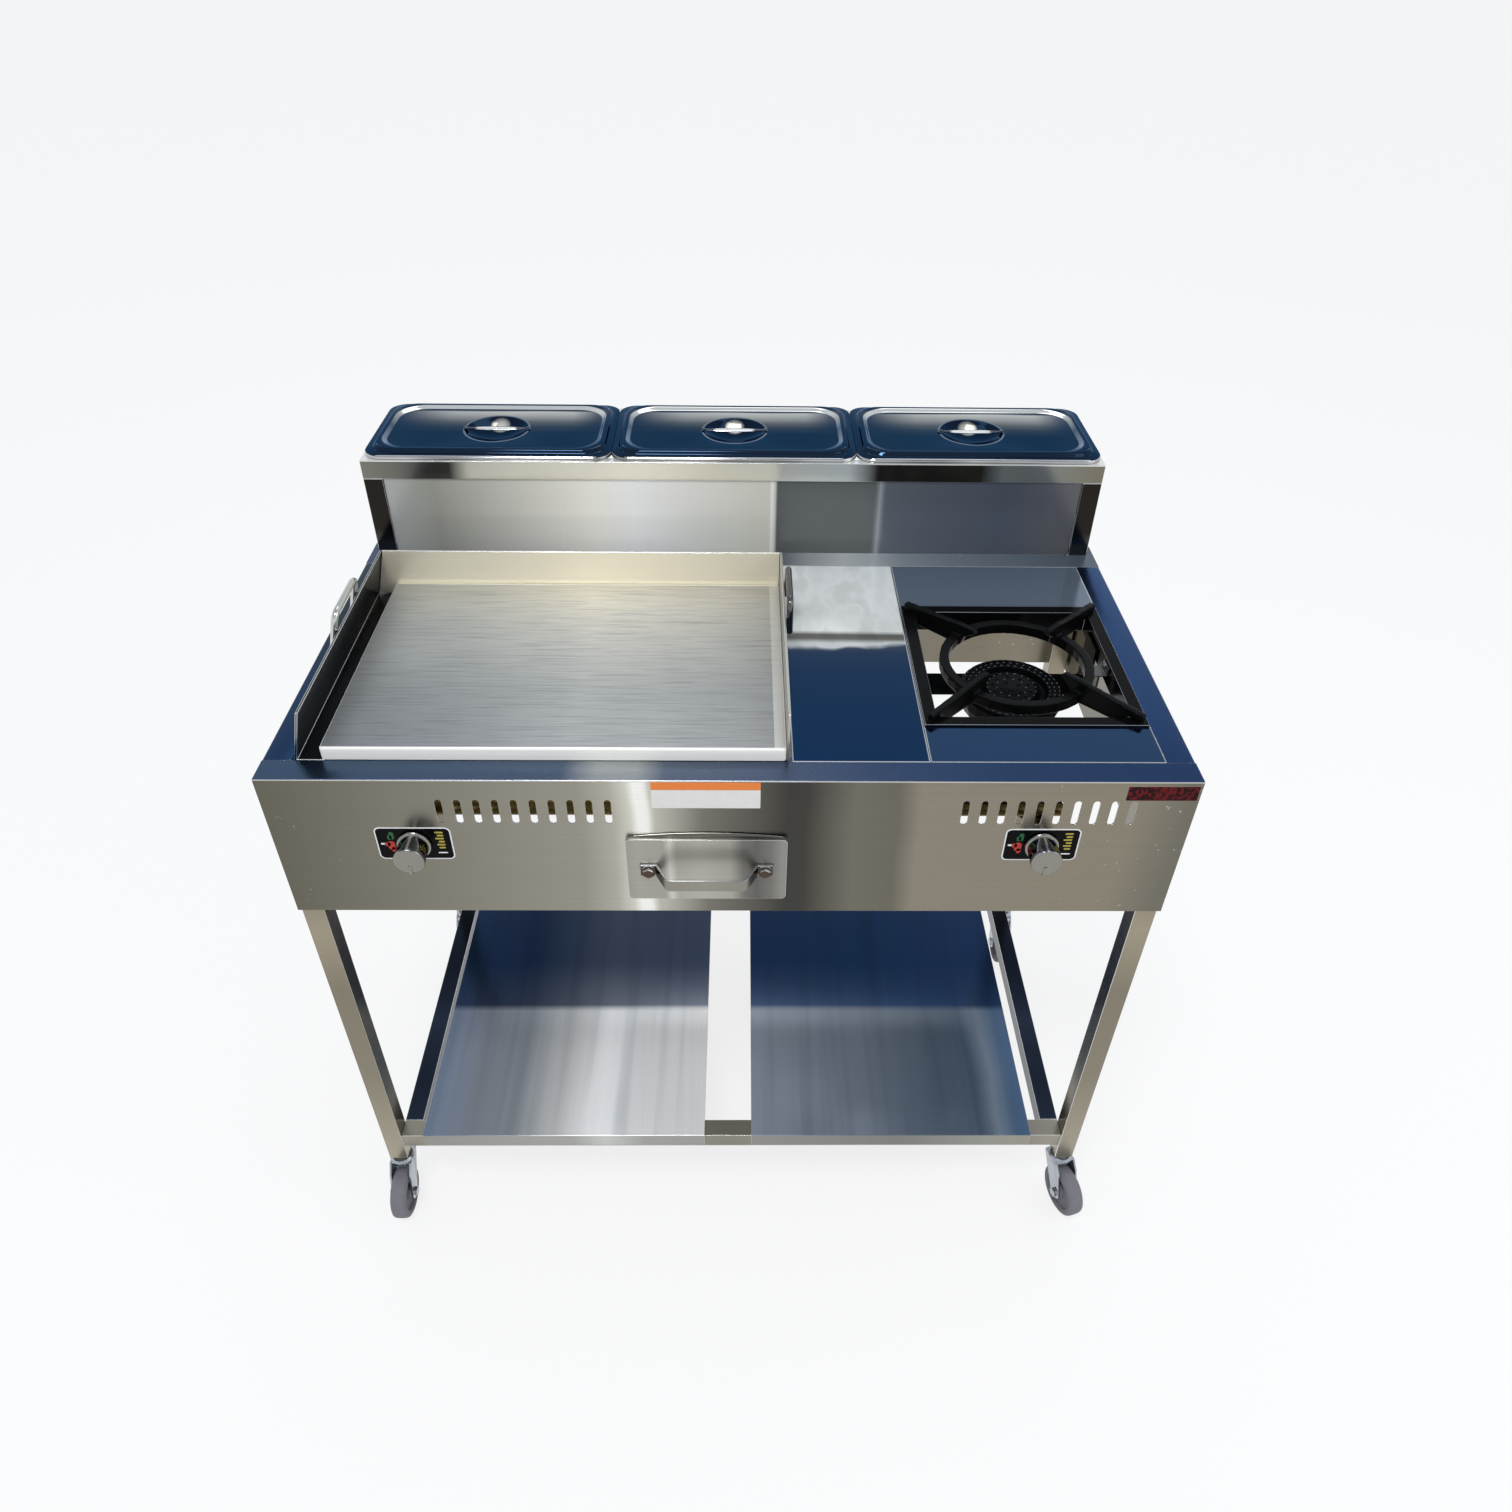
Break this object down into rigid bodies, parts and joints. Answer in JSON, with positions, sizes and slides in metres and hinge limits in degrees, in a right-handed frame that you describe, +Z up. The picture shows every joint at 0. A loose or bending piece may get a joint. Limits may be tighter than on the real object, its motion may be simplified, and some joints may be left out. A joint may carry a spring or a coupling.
{
  "type": "catering cart",
  "caption": "Wheeled stainless catering cart with a griddle, a pot burner, lidded food pans on a raised rear shelf, a drip tray and an open lower shelf.",
  "frame": {"origin": "on the floor under the middle of the cart's bounding box", "axes": "+X along the front to the burner side, +Y from the control front to the rear pan shelf, +Z up"},
  "size_m": [1.0157, 0.7204, 0.965],
  "materials": {
    "apron_steel": "satin folded stainless sheet",
    "bright_steel": "bright stainless",
    "deck_steel": "mirror-like stainless deck sheet",
    "griddle_steel": "ground steel plate",
    "chrome": "polished",
    "cast_iron": "black cast",
    "zinc": "zinc plated pressing",
    "brass": "turned",
    "wheel_rubber": "matt grey"
  },
  "bodies": {
    "cart": {"backsplash": "apron_steel", "burner_deck": "deck_steel", "burner_frame": "cast_iron", "burner_support_strap": "cast_iron", "deck_bar_left": "apron_steel", "deck_bar_right": "apron_steel", "flue_cover": "deck_steel", "front_apron": "apron_steel", "gas_pipe": "brass", "griddle_burner": "cast_iron", "left_apron": "apron_steel", "leg_front_left": "apron_steel", "leg_front_right": "apron_steel", "leg_rear_left": "apron_steel", "leg_rear_right": "apron_steel", "lower_rail_front": "apron_steel", "lower_rail_left": "bright_steel", "lower_rail_rear": "apron_steel", "lower_rail_right": "bright_steel", "lower_shelf_left": "deck_steel", "lower_shelf_right": "deck_steel", "pan_shelf_frame": "bright_steel", "pilot_bracket": "zinc", "rear_apron": "apron_steel", "rear_post_left": "chrome", "rear_post_right": "chrome", "right_apron": "apron_steel", "ring_burner": "cast_iron", "tray_runner_left": "apron_steel", "tray_runner_right": "apron_steel", "valve_left": "brass", "valve_right": "brass", "work_panel": "deck_steel"},
    "fork_front_left": {"caster_fork_front_left": "zinc"},
    "fork_front_right": {"caster_fork_front_right": "zinc"},
    "fork_rear_left": {"caster_fork_rear_left": "zinc"},
    "fork_rear_right": {"caster_fork_rear_right": "zinc"},
    "wheel_front_left": {"caster_wheel_front_left": "wheel_rubber"},
    "wheel_front_right": {"caster_wheel_front_right": "wheel_rubber"},
    "wheel_rear_left": {"caster_wheel_rear_left": "wheel_rubber"},
    "wheel_rear_right": {"caster_wheel_rear_right": "wheel_rubber"},
    "tray": {"drip_tray": "apron_steel", "drip_tray_front": "apron_steel", "drip_tray_handle": "bright_steel"},
    "pan_1": {"food_pan_1": "bright_steel"},
    "pan_2": {"food_pan_2": "bright_steel"},
    "pan_3": {"food_pan_3": "bright_steel"},
    "griddle": {"griddle_back_wall": "griddle_steel", "griddle_handle_left": "chrome", "griddle_handle_right": "chrome", "griddle_left_wall": "griddle_steel", "griddle_plate": "griddle_steel", "griddle_right_wall": "griddle_steel"},
    "control_left": {"knob_left": "chrome"},
    "control_right": {"knob_right": "chrome"},
    "lid_1": {"pan_lid_1": "deck_steel"},
    "lid_2": {"pan_lid_2": "deck_steel"},
    "lid_3": {"pan_lid_3": "deck_steel"},
    "grate": {"pot_grate": "cast_iron"}
  },
  "joints": [
    {"name": "tray_slide", "type": "slide", "parent": "cart", "child": "tray", "axis": [0, -1, 0], "range_m": [0, 0.3]},
    {"name": "control_left_turn", "type": "hinge", "parent": "cart", "child": "control_left", "pos_m": [-0.35291, -0.30854, 0.7295], "axis": [0, -1, 0], "range_deg": [0, 180]},
    {"name": "control_right_turn", "type": "hinge", "parent": "cart", "child": "control_right", "pos_m": [0.33509, -0.30854, 0.7295], "axis": [0, -1, 0], "range_deg": [0, 180]},
    {"name": "swivel_front_left", "type": "hinge", "parent": "cart", "child": "fork_front_left", "pos_m": [-0.48971, -0.29434, 0.09], "axis": [0, 0, 1], "continuous": true},
    {"name": "roll_front_left", "type": "hinge", "parent": "fork_front_left", "child": "wheel_front_left", "pos_m": [-0.48971, -0.32234, 0.0375], "axis": [1, 0, 0], "continuous": true},
    {"name": "swivel_front_right", "type": "hinge", "parent": "cart", "child": "fork_front_right", "pos_m": [0.47689, -0.29434, 0.09], "axis": [0, 0, 1], "continuous": true},
    {"name": "roll_front_right", "type": "hinge", "parent": "fork_front_right", "child": "wheel_front_right", "pos_m": [0.48554, -0.32097, 0.0375], "axis": [0.9511, 0.309, 0], "continuous": true},
    {"name": "swivel_rear_left", "type": "hinge", "parent": "cart", "child": "fork_rear_left", "pos_m": [-0.48971, 0.19126, 0.09], "axis": [0, 0, 1], "continuous": true},
    {"name": "roll_rear_left", "type": "hinge", "parent": "fork_rear_left", "child": "wheel_rear_left", "pos_m": [-0.48971, 0.16326, 0.0375], "axis": [1, 0, 0], "continuous": true},
    {"name": "swivel_rear_right", "type": "hinge", "parent": "cart", "child": "fork_rear_right", "pos_m": [0.47689, 0.19126, 0.09], "axis": [0, 0, 1], "continuous": true},
    {"name": "roll_rear_right", "type": "hinge", "parent": "fork_rear_right", "child": "wheel_rear_right", "pos_m": [0.47689, 0.16326, 0.0375], "axis": [1, 0, 0], "continuous": true},
    {"name": "pan_1_lift", "type": "slide", "parent": "cart", "child": "pan_1", "axis": [0, 0, 1], "range_m": [0, 0.2]},
    {"name": "lid_1_lift", "type": "slide", "parent": "pan_1", "child": "lid_1", "axis": [0, 0, 1], "range_m": [0, 0.2]},
    {"name": "pan_2_lift", "type": "slide", "parent": "cart", "child": "pan_2", "axis": [0, 0, 1], "range_m": [0, 0.2]},
    {"name": "lid_2_lift", "type": "slide", "parent": "pan_2", "child": "lid_2", "axis": [0, 0, 1], "range_m": [0, 0.2]},
    {"name": "pan_3_lift", "type": "slide", "parent": "cart", "child": "pan_3", "axis": [0, 0, 1], "range_m": [0, 0.2]},
    {"name": "lid_3_lift", "type": "slide", "parent": "pan_3", "child": "lid_3", "axis": [0, 0, 1], "range_m": [0, 0.2]},
    {"name": "griddle_lift", "type": "slide", "parent": "cart", "child": "griddle", "axis": [0, 0, 1], "range_m": [0, 0.15]},
    {"name": "grate_lift", "type": "slide", "parent": "cart", "child": "grate", "axis": [0, 0, 1], "range_m": [0, 0.1]}
  ]
}
